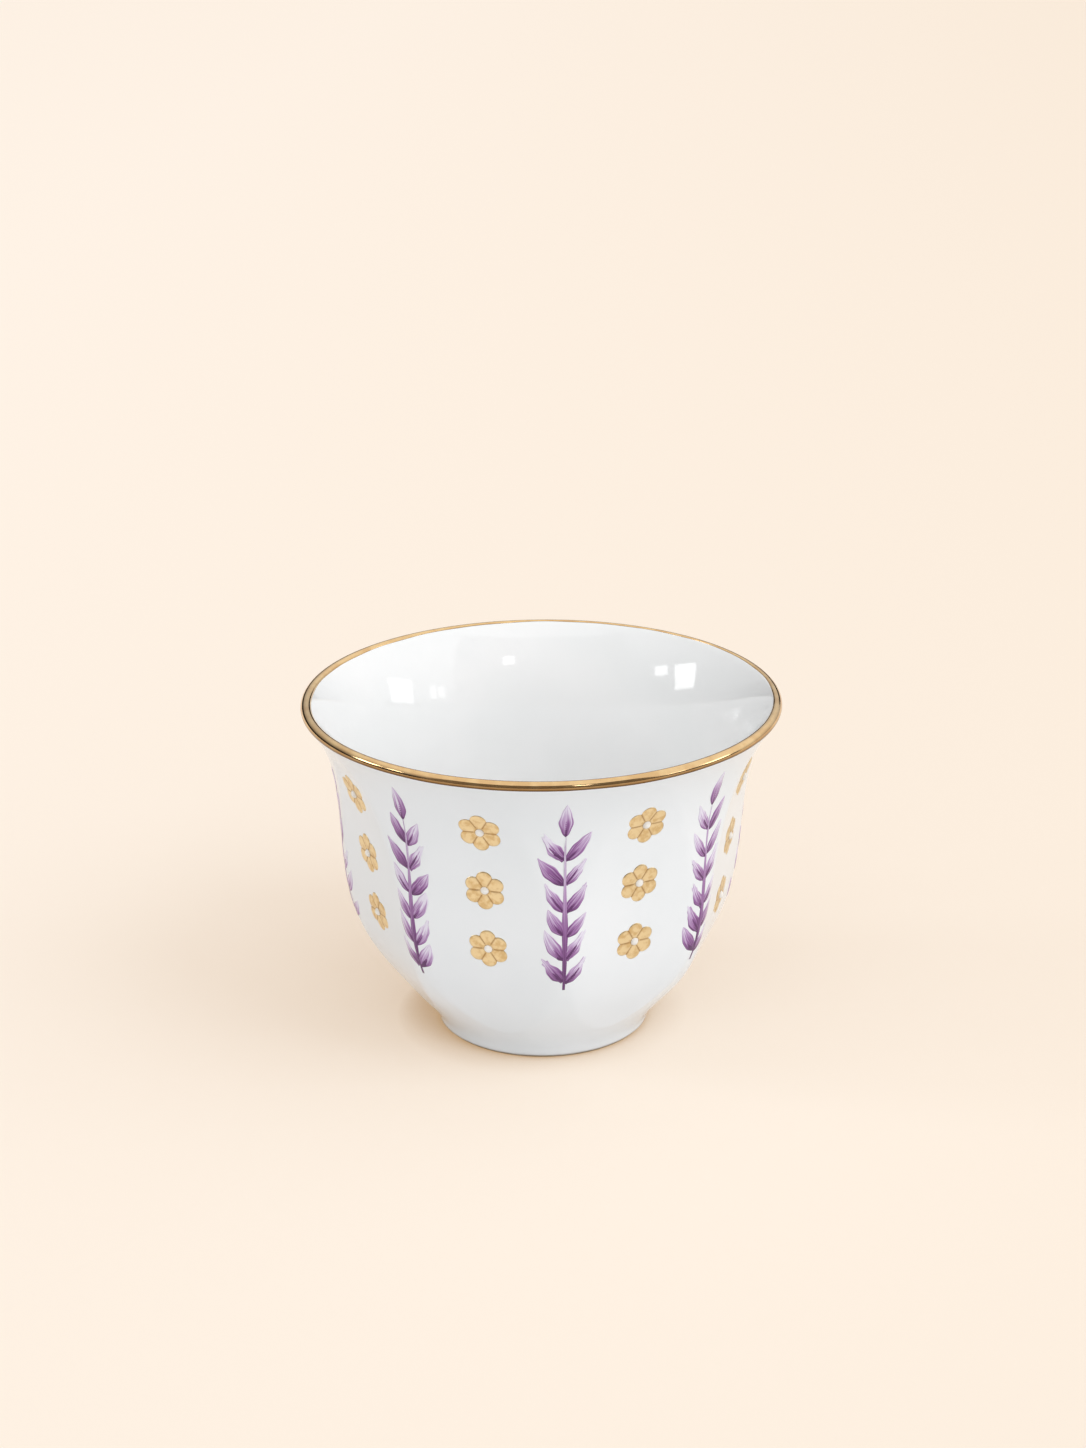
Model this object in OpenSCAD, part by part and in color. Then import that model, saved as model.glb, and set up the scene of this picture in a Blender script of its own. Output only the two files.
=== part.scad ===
// Small handleless porcelain coffee cup: a soft eight-panelled bowl on a foot ring,
// glazed white, gilded round the lip and painted with leaf sprays and gold rosettes.
// Millimetres, +Z up. The origin is the middle of the resting edge, and a ridge faces -Y.

/* [Cup] */
// Diameter over the gilded lip
rim_d = 70; // [66:1:76]
// Height from the resting edge to the top of the lip
cup_h = 51; // [48:0.5:56]
// Thickness of the finished, rounded lip
lip_t = 1.7; // [1.5:0.1:2]
// Angle of the flare at the lip, from upright
lip_lean = 40; // [34:1:46]
// Diameter over the ridges where the belly is fullest
belly_d = 58.6; // [56:0.2:60]
// Height at which the belly is fullest
belly_h = 26; // [24:0.5:28]
// Wall thickness at the belly, in the middle of a panel
wall_t = 1.9; // [1.6:0.1:2.6]
// Thickness of the floor over the recess of the foot
floor_t = 2.6; // [2.2:0.1:3.4]

/* [Foot] */
// Diameter of the foot ring at its lower edge
foot_d = 31.4; // [30:0.2:34]
// Height of the foot ring
foot_h = 2.4; // [2:0.1:3]
// How much further out the top of the foot ring lies than its lower edge
foot_flare = 0.6; // [0.3:0.1:1]
// Width of the bare edge that the cup rests on
edge_w = 1.6; // [1.2:0.1:2]
// Rounding of the resting edge
edge_round = 0.4; // [0.3:0.05:0.6]
// Depth of the recess inside the foot ring
recess_h = 2; // [1.4:0.1:2.4]
// Slope width of the recess wall
recess_slope = 1.4; // [1:0.1:2]

/* [Panels] */
// Pairs of opposite panels round the outside
panel_pairs = 4; // [3:1:6]
// How far the middle of a panel lies inside the ridges
panel_depth = 1.8; // [1:0.05:1.9]
// Height at which the panels grow out of the round foot
panel_start = 5.5; // [4.5:0.1:7]
// Distance below the top of the lip at which the panels fade out
panel_fade = 2.8; // [2.6:0.1:5]

/* [Fired coats] */
// Thickness of the glaze
glaze_t = 0.25; // [0.2:0.01:0.3]
// Height of the strip above the resting edge that is wiped free of glaze
wipe_h = 0.5; // [0.45:0.01:0.7]
// Thickness of the gilding on the lip
gilding_t = 0.08; // [0.06:0.01:0.12]
// Thickness of the painted enamel
enamel_t = 0.1; // [0.08:0.01:0.14]
// Thickness of the gold in the rosettes
gold_t = 0.12; // [0.1:0.01:0.16]

/* [Leaf sprays] */
// Height at which a spray's stem begins
spray_foot = 16.5; // [15:0.5:19]
// Distance of a spray's top leaf tip below the top of the lip
spray_gap = 4; // [3.5:0.5:6]
// Leaf pairs on a spray
leaf_pairs = 6; // [4:1:6]
// Length of a leaf
leaf_l = 5.6; // [4.4:0.1:6]
// Width of a leaf
leaf_w = 2; // [1.5:0.1:2.2]
// Lean of the leaves from the stem
leaf_lean = 42; // [34:1:50]
// Width of the stem
stem_w = 0.8; // [0.6:0.05:1]

/* [Rosettes] */
// Rosettes in a column
rosette_rows = 3; // [2:1:3]
// Height of the lowest rosette's centre
rosette_low = 22.5; // [21:0.5:24]
// Distance of the highest rosette's centre below the top of the lip
rosette_gap = 9.5; // [8.5:0.5:11]
// Diameter over the petals
rosette_d = 6; // [5:0.1:6.6]
// Petals of a rosette
petals = 6; // [5:1:8]
// Diameter of a petal
petal_d = 2.3; // [2:0.1:2.5]
// Diameter of the disc that joins the petals
disc_d = 3; // [2.6:0.1:3.6]
// Diameter of the raised enamel bead
bead_d = 1.2; // [1:0.05:1.4]
// Height of the bead above the gold
bead_h = 0.4; // [0.3:0.02:0.5]

/* [Hidden] */
$fn = 96;
curve_steps = 8;
arc_steps = 10;
// First step round the lip that is gilded, counted from the outside
gilded_from = 2;
// Overrun of every cut
overrun = 1;

// Handles of the bowl's curve, as shares of the way from the foot to the belly: [out, up]
foot_handle_shares = [0.55, 0.37];
bowl_handle_shares = [0.915, 0.465];
// Handles of the flare: above the belly and below the lip, as shares of the height between them
flare_handle_share = 0.38;
lip_handle_share = 0.34;
// Handles of the inside: down from the belly, and out from the middle of the floor
side_handle_share = 0.6;
floor_handle_share = 0.76;
// How far the panels' fullest depth lies below the middle of their height
panel_lead_share = 0.5;
// Where a spray's first leaves leave the stem, as a share of the leaf's length above its foot
first_leaf_share = 0.25;

columns = 2 * panel_pairs;
column_step = 360 / columns;
ridge_r = belly_d / 2;
foot_r = foot_d / 2;
bare_foot_r = foot_r - glaze_t;
bare_lip_r = lip_t / 2 - gilding_t;
lip_centre = [(rim_d - lip_t) / 2, cup_h - lip_t / 2];
lip_along = [sin(lip_lean), cos(lip_lean)];
lip_out = [cos(lip_lean), -sin(lip_lean)];
lip_edge = lip_centre + bare_lip_r * lip_out;
lip_inner = lip_centre - bare_lip_r * lip_out;
lip_handle = lip_handle_share * (cup_h - belly_h) * lip_along;
belly = [ridge_r, belly_h];
belly_inside = [ridge_r - panel_depth - wall_t, belly_h];
foot_top = [foot_r + foot_flare, foot_h];
floor_z = recess_h + floor_t;
panel_end = cup_h - panel_fade;
spray_top = cup_h - spray_gap;
rosette_high = cup_h - rosette_gap;
outer_limit = rim_d / 2 + overrun;
top_limit = cup_h + overrun;

// A point of the cubic curve that four points give
function curve_at(p, t) =
    pow(1 - t, 3) * p[0] + 3 * pow(1 - t, 2) * t * p[1]
    + 3 * (1 - t) * pow(t, 2) * p[2] + pow(t, 3) * p[3];

// The curve as a chain of points, from the given step to the last
function curve_line(p, from = 0) =
    [for (i = [from:curve_steps]) curve_at(p, i / curve_steps)];

// The point at the given shares of the way from a to b
function between(a, b, shares) = [a.x + (b.x - a.x) * shares.x, a.y + (b.y - a.y) * shares.y];

// A chain of points moved sideways, to its right, by t; a point on the axis stays on it
function moved(line, t) =
    [for (i = [0:len(line) - 1])
        let (
            step = line[min(i + 1, len(line) - 1)] - line[max(i - 1, 0)],
            way = [step.x, line[i].x > 0 ? step.y : 0]
        )
        line[i] + t * [way.y, -way.x] / norm(way)];

function reversed(line) = [for (i = [len(line) - 1:-1:0]) line[i]];

// The rounded lip, t outside its glaze, between two steps counted from its outer edge
function lip_line(t, from, to) =
    [for (i = [from:to])
        let (a = 180 * i / arc_steps - lip_lean)
        lip_centre + (bare_lip_r + t) * [cos(a), sin(a)]];

// The outside at the ridges, from the foot ring up to the lip
bowl_curve = [
    foot_top,
    between(foot_top, belly, foot_handle_shares),
    between(foot_top, belly, bowl_handle_shares),
    belly
];
belly_slope = (belly - bowl_curve[2]) / (belly.y - bowl_curve[2].y);
flare_curve = [
    belly,
    belly + belly_slope * flare_handle_share * (lip_edge.y - belly_h),
    lip_edge - lip_handle,
    lip_edge
];
ridge_line = concat(curve_line(bowl_curve), curve_line(flare_curve, 1));

// The outside along the middle of a panel: points half a step from the ridge's own,
// drawn in by a depth that swells and fades
function panel_share(z) =
    let (t = (z - panel_start) / (panel_end - panel_start))
    sin(180 * (t + panel_lead_share * t * (1 - t)));
half_steps = concat(
    [foot_top],
    [for (i = [0:curve_steps - 1]) curve_at(bowl_curve, (i + 0.5) / curve_steps)],
    [for (i = [0:curve_steps - 1]) curve_at(flare_curve, (i + 0.5) / curve_steps)],
    [lip_edge]
);
panel_line = [for (p = half_steps) [p.x - panel_depth * panel_share(p.y), p.y]];
panel_table = [for (p = panel_line) [p.y, p.x]];

// The inside, from the lip down to the middle of the floor
flare_inside = [
    lip_inner,
    lip_inner - lip_handle,
    belly_inside + belly_slope * flare_handle_share * (lip_inner.y - belly_h),
    belly_inside
];
bowl_inside = [
    belly_inside,
    belly_inside - belly_slope * side_handle_share * (belly_h - floor_z),
    [belly_inside.x * floor_handle_share, floor_z],
    [0, floor_z]
];
inside_line = concat(curve_line(flare_inside), curve_line(bowl_inside, 1));

// The bare foot: its recess, from the middle outwards, and its lower edge
recess_line = [
    [0, recess_h],
    [bare_foot_r - edge_w - recess_slope, recess_h],
    [bare_foot_r - edge_w, edge_round]
];
foot_line = concat(recess_line, [
    [bare_foot_r - edge_w + edge_round, 0],
    [bare_foot_r - edge_round, 0],
    [bare_foot_r, edge_round]
]);

// Half of the cup's section, t outside the bare body
function section(t) = concat(
    moved(foot_line, t),
    moved(ridge_line, t - glaze_t),
    lip_line(t - glaze_t, 1, arc_steps - 1),
    moved(inside_line, t - glaze_t)
);

// Turns its children, which face +X, to the column at the given place; 0 is the ridge at -Y
module at_column(i) {
    rotate([0, 0, i * column_step - 90]) children();
}

// A block whose side towards +X is one panel, t outside the glaze
module panel_block(t) {
    edge = concat(
        [[outer_limit, -overrun], [outer_limit, foot_h / 2]],
        moved(panel_line, t),
        [[outer_limit, cup_h], [outer_limit, top_limit]]
    );
    rotate([90, 0, 0])
        linear_extrude(height = 2 * outer_limit, center = true)
            polygon(concat([[-outer_limit, -overrun]], edge, [[-outer_limit, top_limit]]));
}

// The cup with its soft panels, t outside the bare body
module cup_shape(t) {
    intersection() {
        rotate_extrude() polygon(section(t));
        intersection_for (i = [0:columns - 1]) at_column(i + 0.5) panel_block(t - glaze_t);
    }
}

// The cup's solid outside round the ridge that faces +X, t outside the glaze, in a wedge
module ridge_wedge(t, angle) {
    intersection() {
        rotate([0, 0, -angle / 2])
            rotate_extrude(angle = angle)
                polygon(concat([[0, foot_h]], moved(ridge_line, t), [[0, lip_edge.y]]));
        rotate([0, 0, column_step / 2]) panel_block(t);
        rotate([0, 0, -column_step / 2]) panel_block(t);
    }
}

// An outline, drawn across and up, that is pushed out along +X
module pushed_out() {
    rotate([90, 0, 90]) linear_extrude(height = outer_limit) children();
}

// A leaf that tapers to both ends, from the origin along +X
module leaf_outline() {
    bow_r = (pow(leaf_l, 2) + pow(leaf_w, 2)) / (4 * leaf_w);
    intersection() {
        translate([leaf_l / 2, bow_r - leaf_w / 2]) circle(r = bow_r);
        translate([leaf_l / 2, leaf_w / 2 - bow_r]) circle(r = bow_r);
    }
}

module spray_outline() {
    top_leaf = spray_top - leaf_l;
    first_leaf = spray_foot + first_leaf_share * leaf_l;
    leaf_pitch = (top_leaf - first_leaf) / leaf_pairs;
    polygon([
        [-stem_w / 4, spray_foot],
        [stem_w / 4, spray_foot],
        [stem_w / 2, top_leaf],
        [0, top_leaf + leaf_l / 2],
        [-stem_w / 2, top_leaf]
    ]);
    translate([0, top_leaf]) rotate(90) leaf_outline();
    for (i = [0:leaf_pairs - 1])
        translate([0, first_leaf + i * leaf_pitch]) {
            rotate(90 - leaf_lean) leaf_outline();
            rotate(90 + leaf_lean) leaf_outline();
        }
}

module rosette_outline() {
    circle(d = disc_d);
    for (i = [0:petals - 1])
        rotate(i * 360 / petals)
            translate([(rosette_d - petal_d) / 2, 0])
                circle(d = petal_d);
}

function rosette_z(row) =
    rosette_low + row * (rosette_high - rosette_low) / (rosette_rows - 1);

module body() {
    color("linen") cup_shape(0);
}

// The glaze over the lip, down the inside, and down the outside to the wiped foot
module glaze() {
    color("white")
        difference() {
            cup_shape(glaze_t);
            cup_shape(0);
            translate([0, 0, -overrun])
                cylinder(r = foot_top.x, h = overrun + wipe_h);
            translate([0, 0, -overrun])
                cylinder(r = bare_foot_r - edge_w / 2, h = overrun + recess_h + floor_t / 2);
        }
}

// The glaze in the recess under the foot, up to the bare edge
module foot_glaze() {
    color("white")
        difference() {
            rotate_extrude()
                polygon(concat(recess_line, reversed(moved(recess_line, glaze_t))));
            translate([0, 0, -overrun])
                cylinder(r = foot_top.x, h = overrun + wipe_h);
        }
}

// The gilding, from the widest point of the lip over its top to where the inside begins
module rim_gilding() {
    under = lip_line(0, gilded_from, arc_steps);
    over = lip_line(gilding_t, gilded_from, arc_steps);
    color("goldenrod") rotate_extrude() polygon(concat(reversed(under), over));
}

module leaf_spray(i) {
    color("mediumorchid")
        at_column(i)
            intersection() {
                difference() {
                    ridge_wedge(enamel_t, column_step);
                    ridge_wedge(0, 2 * column_step);
                }
                pushed_out() spray_outline();
            }
}

module rosette_column(i) {
    color("gold")
        at_column(i + 0.5)
            intersection() {
                difference() {
                    panel_block(gold_t);
                    panel_block(0);
                }
                pushed_out()
                    for (row = [0:rosette_rows - 1])
                        translate([0, rosette_z(row)]) rosette_outline();
            }
}

module bead_column(i) {
    ball_r = (pow(bead_d, 2) / 4 + pow(bead_h, 2)) / (2 * bead_h);
    color("ivory")
        at_column(i + 0.5)
            difference() {
                for (row = [0:rosette_rows - 1])
                    let (
                        z = rosette_z(row),
                        rise = lookup(z + bead_d, panel_table) - lookup(z - bead_d, panel_table),
                        out = [2 * bead_d, -rise] / norm([2 * bead_d, rise]),
                        centre = [lookup(z, panel_table), z] + (gold_t + bead_h - ball_r) * out
                    )
                    translate([centre.x, 0, centre.y]) sphere(r = ball_r);
                panel_block(gold_t);
            }
}

body();
glaze();
foot_glaze();
rim_gilding();
for (i = [0:columns - 1]) {
    leaf_spray(i);
    rosette_column(i);
    bead_column(i);
}
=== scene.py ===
"""Looks of a small handleless porcelain coffee cup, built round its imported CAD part.

The cup is white glazed porcelain with eight soft panels, a gilded lip, purple leaf
sprays brushed along the ridges and gold rosettes with raised white beads between them.
"""

import logging
import math
from dataclasses import dataclass, field
from enum import Enum

import bpy
import numpy as np
from bpy.types import Material, Node, NodeSocket, NodeTree, Object
from mathutils import Matrix, Vector


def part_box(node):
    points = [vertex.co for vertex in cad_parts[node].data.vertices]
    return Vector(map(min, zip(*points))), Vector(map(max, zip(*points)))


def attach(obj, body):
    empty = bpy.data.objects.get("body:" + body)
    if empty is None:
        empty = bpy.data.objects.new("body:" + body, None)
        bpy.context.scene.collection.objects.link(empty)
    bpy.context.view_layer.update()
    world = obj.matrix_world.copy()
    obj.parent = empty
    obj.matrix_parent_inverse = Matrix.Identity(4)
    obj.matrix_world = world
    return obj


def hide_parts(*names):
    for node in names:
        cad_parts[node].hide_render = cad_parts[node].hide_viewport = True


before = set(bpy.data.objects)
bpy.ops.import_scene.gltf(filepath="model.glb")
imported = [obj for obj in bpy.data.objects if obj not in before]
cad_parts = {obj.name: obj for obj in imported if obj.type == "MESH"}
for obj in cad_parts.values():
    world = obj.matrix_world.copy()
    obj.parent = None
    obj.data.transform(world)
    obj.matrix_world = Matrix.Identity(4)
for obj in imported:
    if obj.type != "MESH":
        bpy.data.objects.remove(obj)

LOG = logging.getLogger("coffee_cup")
MM = 0.001
# How far the visual model stays inside the CAD model's box, in millimetres
SLACK = 0.012


class Slot(Enum):
    """The record's material slots."""

    BARE_PORCELAIN = "bare_porcelain"
    WHITE_GLAZE = "white_glaze"
    LIP_GOLD = "lip_gold"
    ROSETTE_GOLD = "rosette_gold"
    PURPLE_ENAMEL = "purple_enamel"
    WHITE_ENAMEL = "white_enamel"


class Side(Enum):
    """The side of a spray's stem that a leaf grows on."""

    LEFT = -1
    RIGHT = 1


def linear(code: str) -> tuple[float, float, float, float]:
    """Turns a colour code into the linear colour that shaders take.

    Args:
        code: an sRGB colour such as "#F4F4F5".

    Returns:
        Red, green, blue and an opaque alpha, linear.
    """
    shares = [int(code[i : i + 2], 16) / 255 for i in (1, 3, 5)]
    red, green, blue = (
        s / 12.92 if s <= 0.04045 else ((s + 0.055) / 1.055) ** 2.4 for s in shares
    )
    return red, green, blue, 1.0


def add_node(
    tree: NodeTree, kind: str, inputs: dict | None = None, stops: tuple = (), **settings: object
) -> Node:
    """Adds a shader node with its settings, values and links.

    Args:
        tree: the node tree that it joins.
        kind: the node's type name, without the words that all of them start with.
        inputs: socket name or place against a value, or against the output to link.
        stops: for a colour ramp, its places and colour codes.
        **settings: the node's own properties.

    Returns:
        The new node.
    """
    node = tree.nodes.new("ShaderNode" + kind)
    for name, value in settings.items():
        setattr(node, name, value)
    for key, value in (inputs or {}).items():
        if isinstance(value, NodeSocket):
            tree.links.new(value, node.inputs[key])
        else:
            node.inputs[key].default_value = value
    if stops:
        elements = node.color_ramp.elements
        while len(elements) < len(stops):
            elements.new(1.0)
        for element, (place, code) in zip(elements, stops):
            element.position = place
            element.color = linear(code)
    return node


def new_material(name: str) -> tuple[Material, NodeTree]:
    """Starts an empty node material.

    Args:
        name: the material's name.

    Returns:
        The material and its node tree, with only the output node in it.
    """
    material = bpy.data.materials.new(name)
    material.use_nodes = True
    tree = material.node_tree
    tree.nodes.clear()
    add_node(tree, "OutputMaterial", name="Out")
    return material, tree


def finish_material(tree: NodeTree, shader: Node) -> None:
    """Links a shader's first output to the material's surface."""
    tree.links.new(shader.outputs[0], tree.nodes["Out"].inputs["Surface"])


def millimetre_space(tree: NodeTree, scale: tuple = (1.0, 1.0, 1.0)) -> NodeSocket:
    """Gives texture coordinates counted in millimetres.

    Args:
        tree: the node tree.
        scale: further scale along each axis.

    Returns:
        The coordinates' socket.
    """
    place = add_node(tree, "TexCoord").outputs["Object"]
    spread = {"Vector": place, "Scale": [s / MM for s in scale]}
    return add_node(tree, "Mapping", spread).outputs["Vector"]


def clouded(
    tree: NodeTree, space: NodeSocket, per_mm: float, detail: float, stops: tuple
) -> NodeSocket:
    """Tints a surface in soft clouds.

    Args:
        tree: the material's node tree.
        space: coordinates in millimetres.
        per_mm: how many clouds there are to a millimetre.
        detail: how far their edges break up.
        stops: places in the clouds and their colour codes.

    Returns:
        The colour's socket.
    """
    noise = {"Vector": space, "Scale": per_mm, "Detail": detail}
    cloud = add_node(tree, "TexNoise", noise).outputs["Fac"]
    return add_node(tree, "ValToRGB", {"Fac": cloud}, stops=stops).outputs["Color"]


def grained(
    tree: NodeTree, space: NodeSocket, size: tuple, detail: float, strength: float
) -> NodeSocket:
    """Bumps a surface with grains or ripples of one size.

    Args:
        tree: the material's node tree.
        space: coordinates in millimetres.
        size: a grain's width and height in millimetres.
        detail: how far the grains break up.
        strength: how much of their height is felt.

    Returns:
        The normal's socket.
    """
    noise = {"Vector": space, "Scale": 1 / size[0], "Detail": detail}
    grain = add_node(tree, "TexNoise", noise).outputs["Fac"]
    bump = {"Height": grain, "Strength": strength, "Distance": size[1] * MM}
    return add_node(tree, "Bump", bump).outputs["Normal"]


def faded(
    tree: NodeTree, value: NodeSocket, ends: tuple, first: str, second: str | NodeSocket
) -> NodeSocket:
    """Passes from one colour to another as a value grows.

    Args:
        tree: the material's node tree.
        value: the value's socket.
        ends: the values at which the second colour starts and is full.
        first: the first colour's code.
        second: the second colour's code or socket.

    Returns:
        The colour's socket.
    """
    ranged = {"Value": value, "From Min": ends[0], "From Max": ends[1]}
    share = add_node(tree, "MapRange", ranged).outputs[0]
    second = linear(second) if isinstance(second, str) else second
    mix = {0: share, 6: linear(first), 7: second}
    return add_node(tree, "Mix", mix, data_type="RGBA").outputs[2]


@dataclass(frozen=True)
class Finish:
    """A surface of the cup; each kind has its own colour and grain."""

    name: str
    roughness: float

    def surface(self, tree: NodeTree) -> dict:
        """Works out a finish's colour and grain.

        Args:
            tree: the material's node tree.

        Returns:
            The shader's inputs, apart from its roughness.
        """
        raise NotImplementedError

    def material(self) -> Material:
        """Builds the node material.

        Returns:
            The material.
        """
        material, tree = new_material(self.name)
        inputs = {"Roughness": self.roughness, **self.surface(tree)}
        finish_material(tree, add_node(tree, "BsdfPrincipled", inputs))
        return material


@dataclass(frozen=True)
class GlazedPorcelain(Finish):
    """Hard white porcelain under a fired clear glaze: bright, wet-looking, softly rippled."""

    name: str = "glazed porcelain, gloss fired"
    white: str = "#F4F4F4"
    thin_glaze: str = "#F0F1F1"
    clouds_per_mm: float = 0.06
    roughness: float = 0.06
    ior: float = 1.5
    # Width and height in millimetres
    ripple: tuple = (7.0, 0.007)

    def surface(self, tree: NodeTree) -> dict:
        """Works out the glaze's colour and ripple.

        Args:
            tree: the material's node tree.

        Returns:
            The shader's inputs, apart from its roughness.
        """
        space = millimetre_space(tree)
        # Glaze pools and thins in soft clouds, which shows as a faint cool drift in the white
        stops = ((0.35, self.thin_glaze), (0.65, self.white))
        tint = clouded(tree, space, self.clouds_per_mm, 2.0, stops)
        # The long ripple of a glaze that flowed before it set bends the reflections a little
        ripple = grained(tree, space, self.ripple, 1.0, 1.0)
        return {"Base Color": tint, "IOR": self.ior, "Normal": ripple}


@dataclass(frozen=True)
class BiscuitPorcelain(Finish):
    """Unglazed porcelain, wiped and ground at the foot: dry, matt and finely grained, with a
    painted contact shadow along its lowest edge.
    """

    name: str = "biscuit porcelain, ground"
    clean: str = "#EDE8DF"
    worn: str = "#CFC6B8"
    patches_per_mm: float = 0.5
    contact_shadow: str = "#7A6653"
    # Heights in millimetres between which the painted contact shadow ends
    contact_shadow_ends: tuple = (0.12, 0.42)
    roughness: float = 0.72
    ior: float = 1.5
    # Width and height in millimetres
    grain: tuple = (0.18, 0.02)

    def surface(self, tree: NodeTree) -> dict:
        """Works out the biscuit's colour and grain.

        Args:
            tree: the material's node tree.

        Returns:
            The shader's inputs, apart from its roughness.
        """
        space = millimetre_space(tree)
        stops = ((0.38, self.worn), (0.6, self.clean))
        tint = clouded(tree, space, self.patches_per_mm, 3.0, stops)
        # A painted contact shadow darkens the lowest edge to a thin brown line
        height = add_node(tree, "SeparateXYZ", {0: space}).outputs["Z"]
        edge_shadowed = faded(tree, height, self.contact_shadow_ends, self.contact_shadow, tint)
        grain = grained(tree, space, self.grain, 4.0, 0.6)
        return {"Base Color": edge_shadowed, "IOR": self.ior, "Normal": grain}


@dataclass(frozen=True)
class BrightGold(Finish):
    """Bright gold brushed on the lip and fired: a finely lined mirror, brown at its thin edge."""

    name: str = "bright gold, brushed on and fired"
    gold: str = "#E3C290"
    thin_gold: str = "#D6B07E"
    brown: str = "#694A26"
    # Shares of the way in from the outer border between which the brown ends
    border: tuple = (0.05, 0.26)
    patches_per_mm: float = 0.35
    roughness: float = 0.11
    # Width and height in millimetres
    line: tuple = (0.16, 0.0015)
    line_stretch: tuple = (0.08, 0.08, 1.0)

    def surface(self, tree: NodeTree) -> dict:
        """Works out the gilding's colour and brush lines.

        Args:
            tree: the material's node tree.

        Returns:
            The shader's inputs, apart from its roughness.
        """
        stops = ((0.4, self.thin_gold), (0.6, self.gold))
        tint = clouded(tree, millimetre_space(tree), self.patches_per_mm, 3.0, stops)
        # The brush left the outer border thin, and thin gold fires brown
        inwards = add_node(tree, "Attribute", attribute_name="paint").outputs["Fac"]
        shaded = faded(tree, inwards, self.border, self.brown, tint)
        # Brush lines run round the rim, so the noise is fine in height and long across
        fine = millimetre_space(tree, self.line_stretch)
        lines = grained(tree, fine, self.line, 2.0, 0.5)
        return {"Base Color": shaded, "Metallic": 1.0, "Normal": lines}


@dataclass(frozen=True)
class SatinGold(Finish):
    """Burnished gold painted over the glaze: satin and a little patchy, with painted shade that
    browns it in its creases and round its beads.
    """

    name: str = "burnished gold, painted and fired"
    gold: str = "#EEDAB0"
    patch: str = "#DCC08E"
    # The colour of the painted shade in the creases and round the beads
    brown: str = "#93652F"
    patches_per_mm: float = 1.1
    roughness: float = 0.36
    # Width and height in millimetres
    grain: tuple = (0.25, 0.012)

    def surface(self, tree: NodeTree) -> dict:
        """Works out the relief's colour and grain.

        Args:
            tree: the material's node tree.

        Returns:
            The shader's inputs, apart from its roughness.
        """
        space = millimetre_space(tree)
        stops = ((0.36, self.patch), (0.56, self.gold))
        tint = clouded(tree, space, self.patches_per_mm, 3.0, stops)
        # Painted shade browns the gold in the creases between petals and in a ring round the bead
        paint = add_node(tree, "Attribute", attribute_name="paint").outputs["Color"]
        crease = add_node(tree, "SeparateColor", {"Color": paint}).outputs["Green"]
        mix = {0: crease, 6: tint, 7: linear(self.brown)}
        shaded_gold = add_node(tree, "Mix", mix, data_type="RGBA").outputs[2]
        grain = grained(tree, space, self.grain, 3.0, 0.5)
        return {"Base Color": shaded_gold, "Metallic": 1.0, "Normal": grain}


@dataclass(frozen=True)
class WateryEnamel(Finish):
    """Purple overglaze enamel, brushed on thin: streaky, pale at the tips, plum in its pools."""

    name: str = "purple enamel, brushed and fired"
    wash: str = "#EAE2EE"
    pale: str = "#C9ABCF"
    middle: str = "#955F9B"
    plum: str = "#5C2A62"
    roughness: float = 0.12
    ior: float = 1.5
    # A hair mark's scale along and across the stroke, and how far the strokes' marks differ
    hair_scale: tuple = (1.6, 9.0, 1.0)
    hair_shift: float = 97.0
    # Each is a range and what it adds to the enamel's depth at its two ends
    pooling: tuple = (0.0, 0.85, 0.58, -0.18)
    rim: tuple = (0.3, 0.46, 0.0, 0.16)
    washed: tuple = (0.44, 0.5, 0.0, -0.4)
    hairs: tuple = (0.3, 0.7, -0.3, 0.3)

    def surface(self, tree: NodeTree) -> dict:
        """Works out the strokes' colour.

        Args:
            tree: the material's node tree.

        Returns:
            The shader's inputs, apart from its roughness.
        """
        paint = add_node(tree, "Attribute", attribute_name="paint").outputs
        marks = add_node(tree, "SeparateColor", {"Color": paint["Color"]}).outputs
        along, across, load = (marks[name] for name in ("Red", "Green", "Blue"))
        # Hair marks: noise that is long along the stroke and fine across it
        shift = {0: load, 1: self.hair_shift}
        shifted = add_node(tree, "Math", shift, operation="MULTIPLY").outputs[0]
        stroke = add_node(tree, "CombineXYZ", {"X": along, "Y": across, "Z": shifted}).outputs[0]
        stretch = {"Vector": stroke, "Scale": self.hair_scale}
        noise = {"Vector": add_node(tree, "Mapping", stretch).outputs[0], "Scale": 1.0}
        hair = add_node(tree, "TexNoise", {**noise, "Detail": 3.0}).outputs["Fac"]
        off = add_node(tree, "Math", {0: across, 1: 0.5}, operation="SUBTRACT").outputs[0]
        side = add_node(tree, "Math", {0: off}, operation="ABSOLUTE").outputs[0]
        # Colour runs down to the base of the stroke and along its rim before it dries. The
        # outermost hair's width is washed out, so the stroke has no hard edge
        depth = paint["Alpha"]
        for value, ends, easing in (
            (along, self.pooling, "LINEAR"),
            (side, self.rim, "SMOOTHSTEP"),
            (side, self.washed, "LINEAR"),
            (hair, self.hairs, "LINEAR"),
        ):
            ranged = dict(zip(("From Min", "From Max", "To Min", "To Max"), ends), Value=value)
            part = add_node(tree, "MapRange", ranged, interpolation_type=easing).outputs[0]
            depth = add_node(tree, "Math", {0: depth, 1: part}, operation="ADD").outputs[0]
        stops = ((0.0, self.wash), (0.25, self.pale), (0.6, self.middle), (1.0, self.plum))
        tint = add_node(tree, "ValToRGB", {"Fac": depth}, stops=stops).outputs["Color"]
        return {"Base Color": tint, "IOR": self.ior}


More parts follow.
